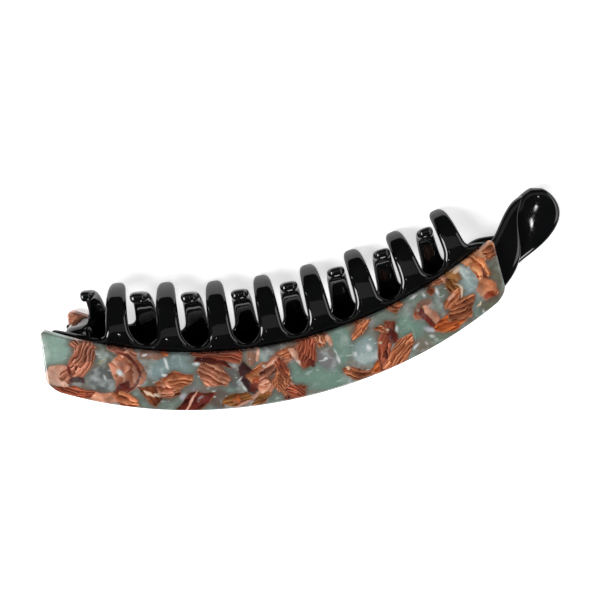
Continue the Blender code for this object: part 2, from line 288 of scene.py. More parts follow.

# How the lines in a chip curve, fan out, follow each other and waver, the slower shading of chips
# without lines, how a fold's painted light and shade and the lines change the tone, and the thin rim
# along the edge
CURVE = 0.25
FAN = 0.3
LINE_RATE = 0.42
LINE_START = 0.3
LINE_WAVER = 0.16
LINE_WAVER_RATE = 2.6
UNLINED_RATE = 0.12
UNLINED_START = 0.14
CLOUD_RATE = 0.5
CLOUD_START = 0.12
FOLD_SHADE = 0.24
FOLD_ALONG = 2.8
FOLD_ACROSS = 1.2
LINE_TONE = 0.28
SCATTER = 12.9898
RIM_INSET = 0.12
RIM_WIDTH = 0.18
RIM_STRENGTH = 0.35

# The acetate's noise, with scales in cells to the metre.  A range is a low and a high value, and
# what they become.  MID_TINT colours the mid tones of the hard chips, and FADED_TONE is the tone
# where their lines fade out.
WAVER_LOW = 0.25
WAVER_HIGH = 0.75
LINE_WAVERS = (
    # (scale, detail, reach)
    (260.0, 2.0, 0.04),
    (1100.0, 1.0, 0.05),
)
LINE_PROFILE = (
    # (share of the way to the next line, tone)
    (0.14, 0.92),
    (0.28, 0.55),
    (0.60, 0.28),
    (0.80, 0.06),
    (0.92, 0.0),
)
LINE_END_TONE = 0.9
FADE_SCALE = 480.0
FADE_RANGE = (0.38, 0.62, 0.45, 1.0)
FADED_TONE = 0.42
PLANE_SCALE = 340.0
PLANE_RANGE = (0.0, 1.0, 0.75, 1.3)
PLANE_SHIFT = 0.6
FIBRE_SCALE = 1800.0
FIBRE_RANGE = (0.3, 0.7, 0.93, 1.07)
GLOSS_SCALE = 900.0
GLOSS_RANGE = (0.3, 0.7, 0.12, 0.24)
POLISH_SCALE = 120.0
FLECK_SCALE = 620.0
FLECK_SIZE = 0.15
FLECK_CHOICE = 0.95
FLECK_STRENGTH = 0.5
FLECK_COLOUR = (0.6, 0.62, 0.6, 1)
MID_TINT = (1.0, 0.66, 0.5, 1)
WHITE = (1.0, 1.0, 1.0, 1)
ACETATE_LAYERS = (
    # (scale, detail, stretched, low, high, strength, colour) of painted pearly sheen, painted
    # shadows and painted glints
    (260.0, 2.0, False, 0.52, 0.76, 0.65, (0.64, 0.70, 0.69, 1)),
    (150.0, 1.5, False, 0.50, 0.78, 0.35, (0.12, 0.13, 0.12, 1)),
    (330.0, 1.0, True, 0.66, 0.77, 0.70, (0.80, 0.86, 0.86, 1)),
)

# Chips in the acetate of the upper plate, in painting order, in millimetres.  x and y are from
# the middle of the plate, turn is the long axis in degrees, and bend is how far the middle bows
# to one side.
CHIPS = (
    # (x, y, half length, half width, turn, bend, kind, lines)
    (-58.4, 19.4, 4.5, 4.00, -105, 0.0, "pale_mint", 0),
    (-60.9, 20.0, 3.4, 1.00, -101, 0.0, "pale", 0),
    (-47.0, 15.5, 3.2, 2.83, -87, 0.0, "grey_green", 0),
    (-48.8, 8.9, 3.3, 3.67, -35, 0.0, "grey", 0),
    (-34.5, 13.1, 4.0, 1.83, -13, 0.0, "pink_brown", 0),
    (-38.4, 10.0, 2.3, 2.00, -79, 0.0, "grey_pink", 0),
    (-33.8, 8.2, 3.4, 2.50, 26, 0.0, "blue_pearl", 0),
    (-36.6, -0.8, 5.3, 1.83, -19, 0.0, "mint_grey", 0),
    (-27.6, 8.7, 3.6, 3.83, -7, 0.0, "blue_grey", 0),
    (-25.6, 0.9, 1.4, 1.83, -28, 0.0, "lilac", 0),
    (-19.7, -3.6, 2.7, 2.83, -9, 0.0, "grey_brown", 0),
    (-32.4, -2.2, 2.3, 1.83, -17, 0.0, "mint_grey", 0),
    (-14.5, 1.7, 3.9, 2.17, -81, 0.0, "grey", 0),
    (-3.0, 6.2, 3.5, 2.17, -40, 0.0, "grey", 0),
    (-3.8, -6.2, 3.3, 2.00, -10, 0.0, "mint_grey", 0),
    (1.7, -1.8, 4.0, 3.33, -85, 0.0, "mint", 0),
    (8.5, -3.1, 8.0, 4.00, -15, 0.0, "mint", 0),
    (15.5, 4.5, 5.7, 2.50, -98, 0.0, "mint", 0),
    (10.8, 1.2, 3.2, 2.50, -47, 0.0, "lilac", 0),
    (21.8, 1.3, 4.0, 3.67, -99, 0.0, "pearl", 0),
    (31.0, 9.1, 6.6, 3.00, -15, 0.0, "mint_grey", 0),
    (33.3, 4.5, 3.7, 2.67, -15, 0.0, "mint", 0),
    (33.7, -2.3, 2.3, 1.67, -8, 0.0, "mint_grey", 0),
    (34.2, 5.9, 3.9, 3.00, -40, 0.0, "mint", 0),
    (36.7, 12.6, 3.8, 1.83, -7, 0.0, "mint_grey", 0),
    (43.1, 1.8, 5.2, 2.50, -16, 0.0, "olive_mint", 0),
    (44.4, 11.6, 3.2, 2.33, -94, 0.0, "grey_green", 0),
    (52.1, 15.2, 4.4, 3.50, -90, 0.0, "pearl", 0),
    (59.7, 14.6, 4.4, 2.17, -98, 0.0, "olive_grey", 0),
    (57.7, 7.2, 3.4, 2.00, 16, 0.0, "olive_grey", 0),
    (-59.4, 12.3, 2.9, 2.50, -47, 0.0, "peach", 0),
    (-58.6, 11.1, 0.6, 0.57, -46, 0.0, "brown", 0),
    (-51.4, 18.9, 2.5, 1.83, -46, 0.0, "rust", 4),
    (-53.4, 14.8, 4.8, 2.67, -140, 0.7, "rust", 5),
    (-56.4, 13.0, 1.4, 0.43, -89, 0.0, "maroon", 0),
    (-54.9, 10.1, 1.9, 0.67, -24, 0.0, "plum", 0),
    (-56.3, 6.9, 4.4, 1.58, -26, -0.5, "dark_rust", 4),
    (-41.6, 15.2, 3.3, 1.25, -31, 0.0, "rust", 2),
    (-43.3, 9.0, 5.2, 3.33, -89, 2.0, "peach", 2),
    (-42.4, 10.9, 1.3, 1.25, -29, 0.0, "rust", 0),
    (-44.0, 5.4, 2.2, 1.00, 31, -0.3, "maroon", 0),
    (-41.3, 12.1, 4.9, 0.33, -58, 1.3, "maroon", 0),
    (-41.6, 6.0, 4.0, 0.37, -140, 1.0, "maroon", 0),
    (-30.9, 12.6, 1.2, 0.83, -21, 0.0, "orange", 0),
    (-49.0, 3.6, 2.9, 1.42, -22, 0.0, "salmon", 0),
    (-44.0, 1.9, 2.8, 1.83, -34, 0.0, "copper", 2),
    (-37.0, 1.8, 2.9, 1.67, -61, 0.0, "brown", 3),
    (-37.9, 2.2, 1.2, 0.43, -49, 0.0, "cream", 0),
    (-35.4, 1.3, 1.0, 0.40, -6, 0.0, "cream", 0),
    (-32.0, 2.6, 2.2, 2.33, -15, 0.0, "copper", 3),
    (-30.2, 3.6, 3.6, 2.33, -1, 0.7, "copper", 4),
    (-33.0, 1.8, 2.2, 1.50, -22, 0.0, "salmon", 2),
    (-28.9, -0.9, 1.2, 1.23, 5, 0.0, "pearl_glint", 0),
    (-26.0, -3.2, 4.2, 2.17, 20, 0.3, "maroon", 2),
    (-24.1, -2.6, 1.6, 1.33, -6, 0.0, "red", 0),
    (-27.3, -2.4, 2.5, 0.23, 48, 0.0, "pink", 0),
    (-15.2, -4.7, 3.1, 1.67, 6, 0.0, "ochre", 3),
    (-15.2, -4.8, 1.0, 0.83, -34, 0.0, "orange", 0),
    (-13.7, -6.3, 1.9, 0.33, 12, 0.0, "pink", 0),
    (-17.8, 9.4, 6.3, 2.33, -14, 0.7, "dark_rust", 6),
    (-19.6, 7.3, 4.4, 0.77, -25, 0.3, "maroon", 2),
    (-19.9, 3.5, 3.4, 2.90, -42, 0.0, "salmon", 5),
    (-11.5, 0.3, 4.4, 1.40, -79, 0.4, "plum_black", 0),
    (-9.6, -2.0, 1.7, 1.17, 35, 0.0, "maroon", 0),
    (-8.8, 6.7, 2.8, 1.40, -105, 0.0, "pink_brown", 2),
    (-7.3, 6.8, 1.7, 0.33, -107, 0.0, "peach", 0),
    (-7.7, 1.8, 2.9, 1.75, 16, 0.0, "peach_orange", 2),
    (-7.6, -0.7, 2.0, 0.93, -4, 0.0, "orange_red", 0),
    (-7.0, -2.9, 1.9, 1.40, 18, 0.0, "peach", 2),
    (-2.2, 3.4, 4.5, 2.00, 23, 0.0, "rust", 2),
    (-2.4, 4.4, 3.8, 0.37, 25, 0.0, "peach", 0),
    (-2.4, -1.6, 2.6, 1.92, 44, 0.0, "copper", 4),
    (-0.8, -4.2, 1.1, 0.83, 42, 0.0, "peach", 0),
    (-9.5, -4.5, 1.8, 0.33, 31, 0.0, "pink", 0),
    (-8.8, -6.1, 2.4, 1.17, 20, 0.0, "ochre", 3),
    (0.7, -6.4, 2.2, 1.58, 42, 0.0, "dark_rust", 4),
    (-0.0, 5.7, 1.8, 1.00, 13, 0.0, "copper", 2),
    (-1.6, 1.5, 2.5, 1.33, -81, 0.0, "dark_rust", 3),
    (-2.0, -3.2, 2.5, 1.50, -67, 0.0, "copper", 4),
    (0.9, -5.8, 2.8, 1.17, -43, 0.0, "dark_rust", 3),
    (2.9, 3.9, 2.2, 0.90, -69, 0.0, "peach", 0),
    (6.9, 8.2, 2.9, 1.58, 4, 0.0, "dark_rust", 3),
    (6.2, 4.9, 4.0, 2.00, -110, 0.0, "dark_rust", 5),
    (10.2, 7.7, 1.9, 1.58, -82, 0.0, "copper", 3),
    (10.4, 7.2, 1.4, 0.23, -76, -0.7, "peach", 0),
    (12.3, 6.7, 1.3, 0.70, -81, 0.0, "peach", 0),
    (6.7, 1.1, 0.8, 0.50, -59, 0.0, "maroon", 0),
    (21.6, 9.4, 2.0, 1.07, -30, -0.5, "copper", 2),
    (21.4, 7.7, 2.6, 1.07, -142, -0.5, "copper", 3),
    (19.6, -4.6, 4.0, 1.67, -17, -0.8, "copper", 3),
    (25.0, -4.1, 2.4, 1.58, 20, 0.0, "orange", 2),
    (27.8, 1.1, 5.5, 1.92, -103, -1.0, "dark_rust", 2),
    (29.3, 4.2, 2.4, 1.10, -60, 0.0, "maroon", 0),
    (31.1, -1.2, 4.5, 2.17, -138, 0.0, "copper", 5),
    (26.8, 6.6, 1.3, 0.73, -22, 0.0, "copper", 1),
    (31.2, 12.1, 1.8, 1.23, -20, 0.0, "copper", 2),
    (37.9, 8.7, 1.4, 1.33, -12, 0.0, "salmon", 1),
    (43.5, 16.9, 2.7, 1.07, 9, 0.0, "copper", 3),
    (46.2, 16.6, 1.6, 0.73, -57, 0.0, "salmon", 0),
    (48.0, 17.8, 1.9, 1.40, -39, 0.0, "ochre", 0),
    (48.0, 13.7, 2.5, 1.53, -51, 0.0, "ochre", 2),
    (41.7, 14.5, 1.0, 1.00, 13, 0.0, "brown", 2),
    (39.0, 10.8, 2.4, 1.58, 23, 0.0, "pink_brown", 2),
    (40.2, 6.5, 3.7, 1.03, -49, 0.0, "maroon", 0),
    (41.3, 7.6, 3.1, 0.87, -61, 0.0, "salmon", 0),
    (45.8, 4.2, 3.5, 1.92, 7, -0.3, "orange", 3),
    (49.3, 7.7, 3.5, 2.50, 12, 0.0, "copper", 4),
    (47.2, 11.0, 2.4, 1.23, 42, 0.0, "copper", 2),
    (47.0, 11.6, 1.1, 0.50, 43, 0.0, "peach", 0),
    (49.2, 13.2, 2.2, 0.23, -71, 0.9, "cream", 0),
    (56.4, 21.8, 3.9, 2.33, 20, 0.0, "peach_orange", 0),
    (55.7, 17.7, 3.4, 1.92, -55, 0.0, "peach_orange", 2),
    (58.9, 21.7, 1.6, 1.58, 7, 0.0, "copper", 2),
    (56.9, 15.2, 1.9, 0.47, -73, 0.0, "maroon", 0),
    (57.0, 11.5, 2.8, 2.00, -47, 0.0, "copper", 0),
    (57.4, 9.9, 1.2, 0.87, 7, 0.0, "orange_red", 0),
    # Painted glints: small white, cream, pale and yellow marks that stand for glints of light on the
    # pearl
    (-43.9, 9.7, 0.9, 0.63, -65, 0.0, "white_glint", 0),
    (-48.0, 9.1, 0.6, 0.27, -81, 0.0, "white_glint", 0),
    (-47.5, 13.7, 0.9, 0.15, 22, 0.0, "yellow_glint", 0),
    (-31.5, 9.8, 1.1, 0.27, -89, 0.0, "white_glint", 0),
    (-32.5, 6.5, 0.5, 0.33, -45, 0.0, "white_glint", 0),
    (-31.6, 9.4, 1.4, 0.33, -83, 0.0, "white_glint", 0),
    (-23.7, 7.7, 0.8, 0.57, -22, 0.0, "white_glint", 0),
    (-32.7, 6.6, 0.5, 0.27, -30, 0.0, "white_glint", 0),
    (-13.4, 0.9, 0.8, 0.23, 35, 0.0, "white_glint", 0),
    (-12.7, -1.9, 0.8, 0.30, -64, 0.0, "white_glint", 0),
    (-5.1, 8.6, 0.7, 0.33, -31, 0.0, "white_glint", 0),
    (-6.3, 3.1, 0.3, 0.23, -51, 0.0, "white_glint", 0),
    (3.1, 2.3, 0.4, 0.27, -48, 0.0, "white_glint", 0),
    (22.7, 2.2, 1.0, 0.57, -71, 0.0, "white_glint", 0),
    (18.6, 1.1, 0.5, 0.33, -50, 0.0, "white_glint", 0),
    (26.0, 2.8, 0.5, 0.33, -43, 0.0, "cream", 0),
    (13.8, 0.7, 1.1, 0.37, -79, 0.0, "white_glint", 0),
    (16.0, -2.3, 0.6, 0.37, -45, 0.0, "cream", 0),
    (31.0, 5.6, 0.6, 0.23, -79, 0.0, "white_glint", 0),
    (35.5, -0.4, 0.8, 0.27, 41, 0.0, "white_glint", 0),
    (13.4, 2.9, 0.7, 0.17, -73, 0.0, "white_glint", 0),
    (28.3, 6.2, 0.4, 0.27, -34, 0.0, "cream", 0),
    (35.3, 3.5, 1.1, 0.13, -84, 0.0, "pale", 0),
    (37.0, 13.9, 1.2, 0.23, 29, -0.2, "white_glint", 0),
    (39.5, 13.8, 0.5, 0.23, -66, 0.0, "white_glint", 0),
    (31.2, 6.0, 0.6, 0.23, -80, 0.0, "white_glint", 0),
    (39.8, 3.7, 1.5, 0.67, -35, 0.0, "pearl_glint", 0),
    (40.3, 1.6, 0.6, 0.30, -31, 0.0, "white_glint", 0),
    (35.6, -0.3, 0.8, 0.27, 58, 0.0, "white_glint", 0),
    (43.4, 13.8, 1.0, 0.37, -78, 0.0, "white_glint", 0),
    (54.3, 7.9, 0.7, 0.33, 49, -0.2, "cream", 0),
    (55.4, 5.7, 0.4, 0.23, -71, 0.0, "white_glint", 0),
    (49.4, 18.6, 1.1, 0.50, 22, 0.0, "cream", 0),
    (51.0, 17.2, 1.5, 0.30, -62, 0.0, "white_glint", 0),
    (52.6, 16.0, 1.6, 0.16, -20, 0.0, "pale", 0),
    (52.4, 14.6, 1.6, 0.16, -48, 0.0, "pale", 0),
    (38.5, -0.0, 0.3, 0.17, -45, 0.0, "white_glint", 0),
    (42.0, -0.1, 1.1, 0.13, -1, 0.0, "pale", 0),
)

# Chips of the lower plate alone, at its hinge end
LOWER_CHIPS = (
    # (x, y, half length, half width, turn, bend, kind, lines)
    (-58.8, 22.0, 4.2, 3.60, 20, 0.0, "salmon", 3),
    (-60.2, 24.0, 2.2, 1.00, 30, 0.0, "rust", 0),
)


def half_matrix(half):
    """Place of a half's frame, whose origin is on the hinge axis."""
    return Matrix.Translation(HINGE) @ Matrix.Rotation(half["angle"], 4, "Y")


def smooth(value):
    """Even step from 0 to 1 with level ends."""
    return value * value * (3 - 2 * value)


def edge_point(along, height):
    """Point (x, y) at an arc length along the hollow edge, and square to it above the edge."""
    angle = along / ARC_RADIUS
    radius = ARC_RADIUS - height
    return (radius * math.sin(angle), EDGE + ARC_RADIUS - radius * math.cos(angle))


def hollow_y(x):
    """Height of a plate's hollow edge at x from its middle."""
    return EDGE + ARC_RADIUS - math.sqrt(ARC_RADIUS ** 2 - x * x)


def round_y(x):
    """Height of a plate's rounded edge at x from its middle."""
    radius = ARC_RADIUS + PLATE_WIDTH + MIDDLE_SWELL - END_TAPER * (x / TAPER_REACH) ** 4
    return EDGE + ARC_RADIUS - math.sqrt(radius ** 2 - x * x)


def tooth_width(way):
    """Half width of a tooth between the round gap (0) and the tip (1)."""
    for (low, low_width), (high, high_width) in zip(TOOTH_PROFILE, TOOTH_PROFILE[1:]):
        if way <= high:
            break
    return low_width + (high_width - low_width) * (way - low) / (high - low)


def half_point(half, x, y, depth):
    """A place on one half, in metres, from the hinge axis."""
    height = half["side"] * (depth - AXIS_DEPTH)
    return Vector(((x + half["middle"]) * MM, y * MM, height * MM))


def new_object(name, data):
    """Links a new object that holds a mesh, a light or a camera."""
    thing = bpy.data.objects.new(name, data)
    bpy.context.scene.collection.objects.link(thing)
    return thing


def finished_mesh(thing):
    """The object's mesh with its modifiers applied."""
    graph = bpy.context.evaluated_depsgraph_get()
    return bpy.data.meshes.new_from_object(thing.evaluated_get(graph))


def shade(mesh, degrees):
    """Smooth faces, with sharp edges above an angle."""
    mesh.polygons.foreach_set("use_smooth", [True] * len(mesh.polygons))
    mesh.set_sharp_from_angle(angle=math.radians(degrees))


# Combs


def tooth_rows(middle, height, reach, width, left_foot, right_foot, sway):
    """Rows across one tooth, from its round gaps up and over to its nose."""
    climb = height - GAP_FLOOR
    lean = LEAN * middle / ARC_RADIUS + sway / climb
    x_root, y_root = edge_point(middle, GAP_FLOOR)
    start_turn = math.asin(GAP_ROUND / climb)
    neck = tooth_width(0) * width
    stations = []
    for degrees in GAP_TURNS:
        turn = math.radians(degrees)
        rise = GAP_ROUND * (1 - math.cos(turn))
        left = left_foot - (left_foot - neck) * math.sin(turn)
        right = right_foot - (right_foot - neck) * math.sin(turn)
        stations.append((math.asin(rise / climb), left, right, 0.0))
    for step in range(1, HOOK_ROWS + 1):
        turn = start_turn + (TOOTH_TURN - start_turn) * step / HOOK_ROWS
        wide = tooth_width(step / (HOOK_ROWS + NOSE_ROWS)) * width
        stations.append((turn, wide, wide, 0.0))
    wide = tooth_width(1.0) * width
    stations.append((TOOTH_TURN, wide, wide, NOSE))
    rows = []
    for turn, left, right, straight in stations:
        rise = climb * math.sin(turn) + straight * math.cos(TOOTH_TURN)
        depth = WALL_DEPTH + reach * (1 - math.cos(turn)) + straight * math.sin(TOOTH_TURN)
        upright = smooth(min(rise / GAP_ROUND, 1.0))
        thickness = WALL_THICK + (TOOTH_THICK - WALL_THICK) * upright
        row = []
        for offset in (-left, 0.0, right):
            x_edge, y_edge = edge_point(middle + offset, GAP_FLOOR)
            x_straight = x_root + offset * math.cos(lean)
            y_straight = y_root + offset * math.sin(lean)
            x = x_edge + (x_straight - x_edge) * upright - rise * math.sin(lean)
            y = y_edge + (y_straight - y_edge) * upright + rise * math.cos(lean)
            row.append((x, y, depth, thickness))
        rows.append(row)
    return rows


def comb_sheet(half):
    """Middle surface of a comb: wall, hooked teeth and tail, with its thickness as a group."""
    data = bmesh.new()
    layer = data.verts.layers.deform.verify()

    def add(x, y, depth, thickness):
        vertex = data.verts.new(half_point(half, x, y, depth))
        vertex[layer][0] = thickness / THICKEST
        return vertex

    def wall_column(along, top):
        x, upper_y = edge_point(along, top)
        lower_y = round_y(x) + WALL_INSET
        return [add(x, upper_y + (lower_y - upper_y) * part, WALL_DEPTH, WALL_THICK)
                for part in WALL_ROWS]

    columns = [wall_column(*place) for place in half["left_steps"]]
    for index, (_, _, _, left_foot, right_foot, _) in enumerate(half["teeth"]):
        middle = half["first_tooth"] + index * TOOTH_PITCH
        if index == 0:
            columns.append(wall_column(middle - left_foot, half["left_floor"]))
        columns.append(wall_column(middle, GAP_FLOOR))
        columns.append(wall_column(middle + right_foot, GAP_FLOOR))
    columns += [wall_column(*place) for place in half["right_steps"]]
    for upper_x, upper_y, lower_x, lower_y, upper_depth, lower_depth, thickness in half["tail"]:
        columns.append([add(upper_x + (lower_x - upper_x) * part,
                            upper_y + (lower_y - upper_y) * part,
                            upper_depth + (lower_depth - upper_depth) * smooth(part),
                            thickness * swell) for part, swell in zip(WALL_ROWS, TAIL_SWELL)])
    for first, second in zip(columns, columns[1:]):
        for row in range(len(WALL_ROWS) - 1):
            data.faces.new((first[row + 1], second[row + 1], second[row], first[row]))
    first_tooth = len(half["left_steps"])
    for index, tooth in enumerate(half["teeth"]):
        start = first_tooth + 2 * index
        row = [columns[start + step][0] for step in range(3)]
        middle = half["first_tooth"] + index * TOOTH_PITCH
        for new_row in tooth_rows(middle, *tooth):
            above = [add(*place) for place in new_row]
            for step in range(2):
                data.faces.new((row[step], row[step + 1], above[step + 1], above[step]))
            row = above
    bmesh.ops.recalc_face_normals(data, faces=data.faces)
    mesh = bpy.data.meshes.new("sheet")
    data.to_mesh(mesh)
    data.free()
    return mesh


def knuckle_mesh(half, low, high):
    """Rounded block round the hinge axis that runs back into the half's wall."""
    reach = AXIS_DEPTH - WALL_DEPTH
    outline = []
    for step in range(KNUCKLE_SIDES + 1):
        angle = math.pi * step / KNUCKLE_SIDES
        outline.append((KNUCKLE_RADIUS * math.cos(angle), KNUCKLE_RADIUS * math.sin(angle)))
    outline += [(-KNUCKLE_RADIUS, -reach), (KNUCKLE_RADIUS, -reach)]
    data = bmesh.new()
    ring = [data.verts.new((x * MM, low * MM, half["side"] * z * MM)) for x, z in outline]
    grown = bmesh.ops.extrude_face_region(data, geom=[data.faces.new(ring)])
    top = [item for item in grown["geom"] if isinstance(item, bmesh.types.BMVert)]
    bmesh.ops.translate(data, verts=top, vec=(0, (high - low) * MM, 0))
    bmesh.ops.recalc_face_normals(data, faces=data.faces)
    for end in (low, high):
        rim = [edge for edge in data.edges
               if all(abs(vertex.co.y - end * MM) < SAME_PLACE * MM for vertex in edge.verts)
               and any(abs(vertex.co.z) < (reach - KNUCKLE_ROOT) * MM for vertex in edge.verts)]
        rounding = BARREL_ROUND if end == BARREL_HIGH else KNUCKLE_EDGE
        bmesh.ops.bevel(data, geom=rim, offset=rounding * MM, offset_type="OFFSET",
                        segments=KNUCKLE_EDGE_STEPS, profile=0.5, affect="EDGES")
    mesh = bpy.data.meshes.new("knuckle")
    data.to_mesh(mesh)
    data.free()
    return mesh


def make_comb(half, knuckles, material):
    """Smooth comb that stands for the CAD one, from the same cage."""
    draft = new_object("draft", comb_sheet(half))
    draft.vertex_groups.new(name="thickness")
    solidify = draft.modifiers.new("Thickness", "SOLIDIFY")
    solidify.thickness = THICKEST * MM
    solidify.offset = 0
    solidify.use_even_offset = True
    solidify.vertex_group = "thickness"
    soft = draft.modifiers.new("Rounded", "SUBSURF")
    soft.levels = COMB_LEVEL
    soft.render_levels = COMB_LEVEL
    blocks = []
    for low, high in knuckles:
        block = new_object("block", knuckle_mesh(half, low, high))
        blocks.append(block)
        union = draft.modifiers.new("Union", "BOOLEAN")
        union.operation = "UNION"
        union.solver = "EXACT"
        union.object = block
    mesh = finished_mesh(draft)
    for thing in [draft, *blocks]:
        bpy.data.objects.remove(thing)
    mesh.transform(half_matrix(half))
    shade(mesh, COMB_SHARP)
    mesh.materials.clear()
    mesh.materials.append(material)
    comb = new_object(half["name"] + "_moulded_comb", mesh)
    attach(comb, half["name"] + "_half")
    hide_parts("comb_" + half["name"])


# Plates


def end_inset(from_end, radius):
    """How far a rounded corner draws an edge in, at a distance from the plate's end."""
    if from_end >= radius:
        return 0.0
    return radius - math.sqrt(max(radius ** 2 - (radius - from_end) ** 2, 0.0))


def ring_places():
    """Distances of a plate's rings from its left end, crowded towards both ends."""
    crowded = [PLATE_END * (step / PLATE_END_RINGS) ** 2 for step in range(PLATE_END_RINGS)]
    middle = PLATE_LENGTH - 2 * PLATE_END
    evenly = [PLATE_END + middle * step / PLATE_RINGS for step in range(PLATE_RINGS + 1)]
    return crowded + evenly + [PLATE_LENGTH - place for place in reversed(crowded)]


def plate_section(top, low, near, far, bevel):
    """Points (y, depth) round a plate: its outer face, its rounded edges and its inner face."""
    turns = [math.pi / 2 * step / PLATE_EDGE_STEPS for step in range(PLATE_EDGE_STEPS + 1)]
    outline = []
    for step in range(PLATE_FRONT_ROWS + 1):
        part = step / PLATE_FRONT_ROWS
        outline.append((low + bevel + (top - low - 2 * bevel) * part, near))
    for turn in turns[1:]:
        outline.append((top - bevel + bevel * math.sin(turn), near + bevel * (1 - math.cos(turn))))
    for turn in turns:
        outline.append((top - bevel + bevel * math.cos(turn), far - bevel + bevel * math.sin(turn)))
    for step in range(1, PLATE_BACK_ROWS):
        part = step / PLATE_BACK_ROWS
        outline.append((top - bevel + (low - top + 2 * bevel) * part, far))
    for turn in turns:
        outline.append((low + bevel - bevel * math.sin(turn), far - bevel * (1 - math.cos(turn))))
    for turn in turns[:-1]:
        outline.append((low + bevel - bevel * math.cos(turn), near + bevel - bevel * math.sin(turn)))
    return outline


def make_plate(half, material):
    """Crescent plate with rounded corners and edges, as rings across its width."""
    hollow_left, round_left, hollow_right, round_right = half["corners"]
    data = bmesh.new()
    rings = []
    places = []
    for place in ring_places():
        way = place / PLATE_LENGTH
        from_end = min(place, PLATE_LENGTH - place)
        hollow_corner, round_corner = ((hollow_left, round_left) if way < 0.5
                                       else (hollow_right, round_right))
        top_x, low_x = (half[ends][0] + (half[ends][1] - half[ends][0]) * way
                        for ends in ("hollow_ends", "round_ends"))
        inset = end_inset(from_end, PLATE_BEVEL)
        top = hollow_y(top_x) - end_inset(from_end, hollow_corner)
        low = round_y(low_x) + end_inset(from_end, round_corner)
        bevel = max(PLATE_BEVEL - inset, LEAST_BEVEL)
        outline = plate_section(top, low, inset, PLATE_THICK - inset, bevel)
        ring = []
        for y, depth in outline:
            x = low_x + (top_x - low_x) * (y - low) / (top - low)
            ring.append(data.verts.new(half_point(half, x, y, depth)))
            places.append((x, y, depth))
        rings.append(ring)
    for first, second in zip(rings, rings[1:]):
        for step in range(len(first)):
            after = (step + 1) % len(first)
            data.faces.new((first[step], first[after], second[after], second[step]))
    data.faces.new(rings[0])
    data.faces.new(list(reversed(rings[-1])))
    bmesh.ops.recalc_face_normals(data, faces=data.faces)
    mesh = bpy.data.meshes.new(half["name"] + "_acetate_plate")
    data.to_mesh(mesh)
    data.free()
    mesh.transform(half_matrix(half))
    shade(mesh, PLATE_SHARP)
    mesh.materials.append(material)
    plate = new_object(half["name"] + "_acetate_plate", mesh)
    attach(plate, half["name"] + "_half")
    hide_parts("plate_" + half["name"])
    return plate, np.array(places)


# Acetate pattern


def linear(colour):
    """Display values (0 to 255, sRGB) as the surface colour that shows them in the studio."""
    share = np.array(colour, float) / 255
    return EXPOSURE * np.where(share < 0.04045, share / 12.92, ((share + 0.055) / 1.055) ** 2.4)


def other_side(chips):
    """The same sheet turned end for end and edge for edge, for the lower plate."""
    turned = []
    for x, y, half_length, half_width, turn, bend, kind, lines in chips:
        radius = math.hypot(x, EDGE + ARC_RADIUS - y)
        angle = math.atan2(x, EDGE + ARC_RADIUS - y)
        new_radius = 2 * ARC_RADIUS + PLATE_WIDTH - radius
        new_x = -new_radius * math.sin(angle)
        new_y = EDGE + ARC_RADIUS - new_radius * math.cos(angle)
        turned.append((new_x, new_y, half_length, half_width,
                       turn + 180 - 2 * math.degrees(angle), bend, kind, lines))
    return turned


def shard(along, aside, half_length, half_width, seed):
    """Distance (mm) inside a shard with straight sides, which the seed's sines make uneven."""
    inside = np.full(len(along), FAR_INSIDE)
    for side in range(SHARD_SIDES):
        uneven = SHARD_TURN * math.sin(1.7 * seed * (side + 1))
        turn = math.radians(360 / SHARD_SIDES * side + uneven)
        reach = SHARD_REACH + SHARD_UNEVEN * math.sin(2.3 * seed + 1.9 * side)
        slope_x = math.cos(turn) / half_length
        slope_y = math.sin(turn) / half_width
        space = (reach - along * slope_x - aside * slope_y) / math.hypot(slope_x, slope_y)
        inside = np.minimum(inside, space)
    return inside


def cloud(along, aside, half_length, half_width):
    """Distance (mm) inside a soft oval."""
    way = np.hypot(along / half_length, aside / half_width)
    return (1 - way) * math.sqrt(half_length * half_width)


def soft_step(value):
    """Even step from 0 to 1, level outside."""
    return smooth(np.clip(value, 0, 1))


def waved(value, x, y, waves):
    """The value with a table of sine waves added to it."""
    for size, rate_x, rate_y, start in waves:
        value = value + size * np.sin(rate_x * x + rate_y * y + start)
    return value


def mixed(base, colour, share):
    """The base with a share of another colour in it."""
    return base * (1 - share) + colour * share


def chip_across(along, aside, seed):
    """Way across a chip, from -1 to 1; the seed's sines set how its lines curve and fan out.

    Both distances are shares of the chip's half length and half width.
    """
    along = np.clip(along, -1, 1)
    curve = CURVE * math.sin(3.3 * seed)
    fan = 1 + FAN * math.sin(5.1 * seed) * along
    return (aside + curve * along ** 2) * fan


def chip_phase(along, aside, across, hard, lines, seed):
    """Where each place stands between two lines of its chip, or in the shade of one without."""
    if lines:
        phase = LINE_RATE * lines * across + LINE_START
        phase = phase + LINE_WAVER * np.sin(LINE_WAVER_RATE * phase + seed)
    elif hard:
        phase = UNLINED_START + UNLINED_RATE * across
    else:
        phase = CLOUD_START + CLOUD_RATE * np.hypot(along, aside)
    return phase


def chip_tone(along, across, wide, lined, phase, seed):
    """Factors on a hard chip's colours: the painted light and shade of one broad fold, and a step
    from line to line.
    """
    tone = np.ones(len(along))
    # Painted shade: one side of a broad fold lighter, the other darker
    if wide:
        tone += FOLD_SHADE * np.sin(FOLD_ALONG * along + FOLD_ACROSS * across + 2.1 * seed)
    if lined:
        tone += LINE_TONE * np.sin(SCATTER * (np.floor(phase) + 3.7 * seed))
    return tone[:, None]


def chip_pearl(kind, hard, lines):
    """Pearl of a chip, by its kind and its lines."""
    if hard:
        return LINED_PEARL if lines else UNLINED_PEARL
    return CALM_PEARL if kind in CALM_KINDS else CLOUD_PEARL


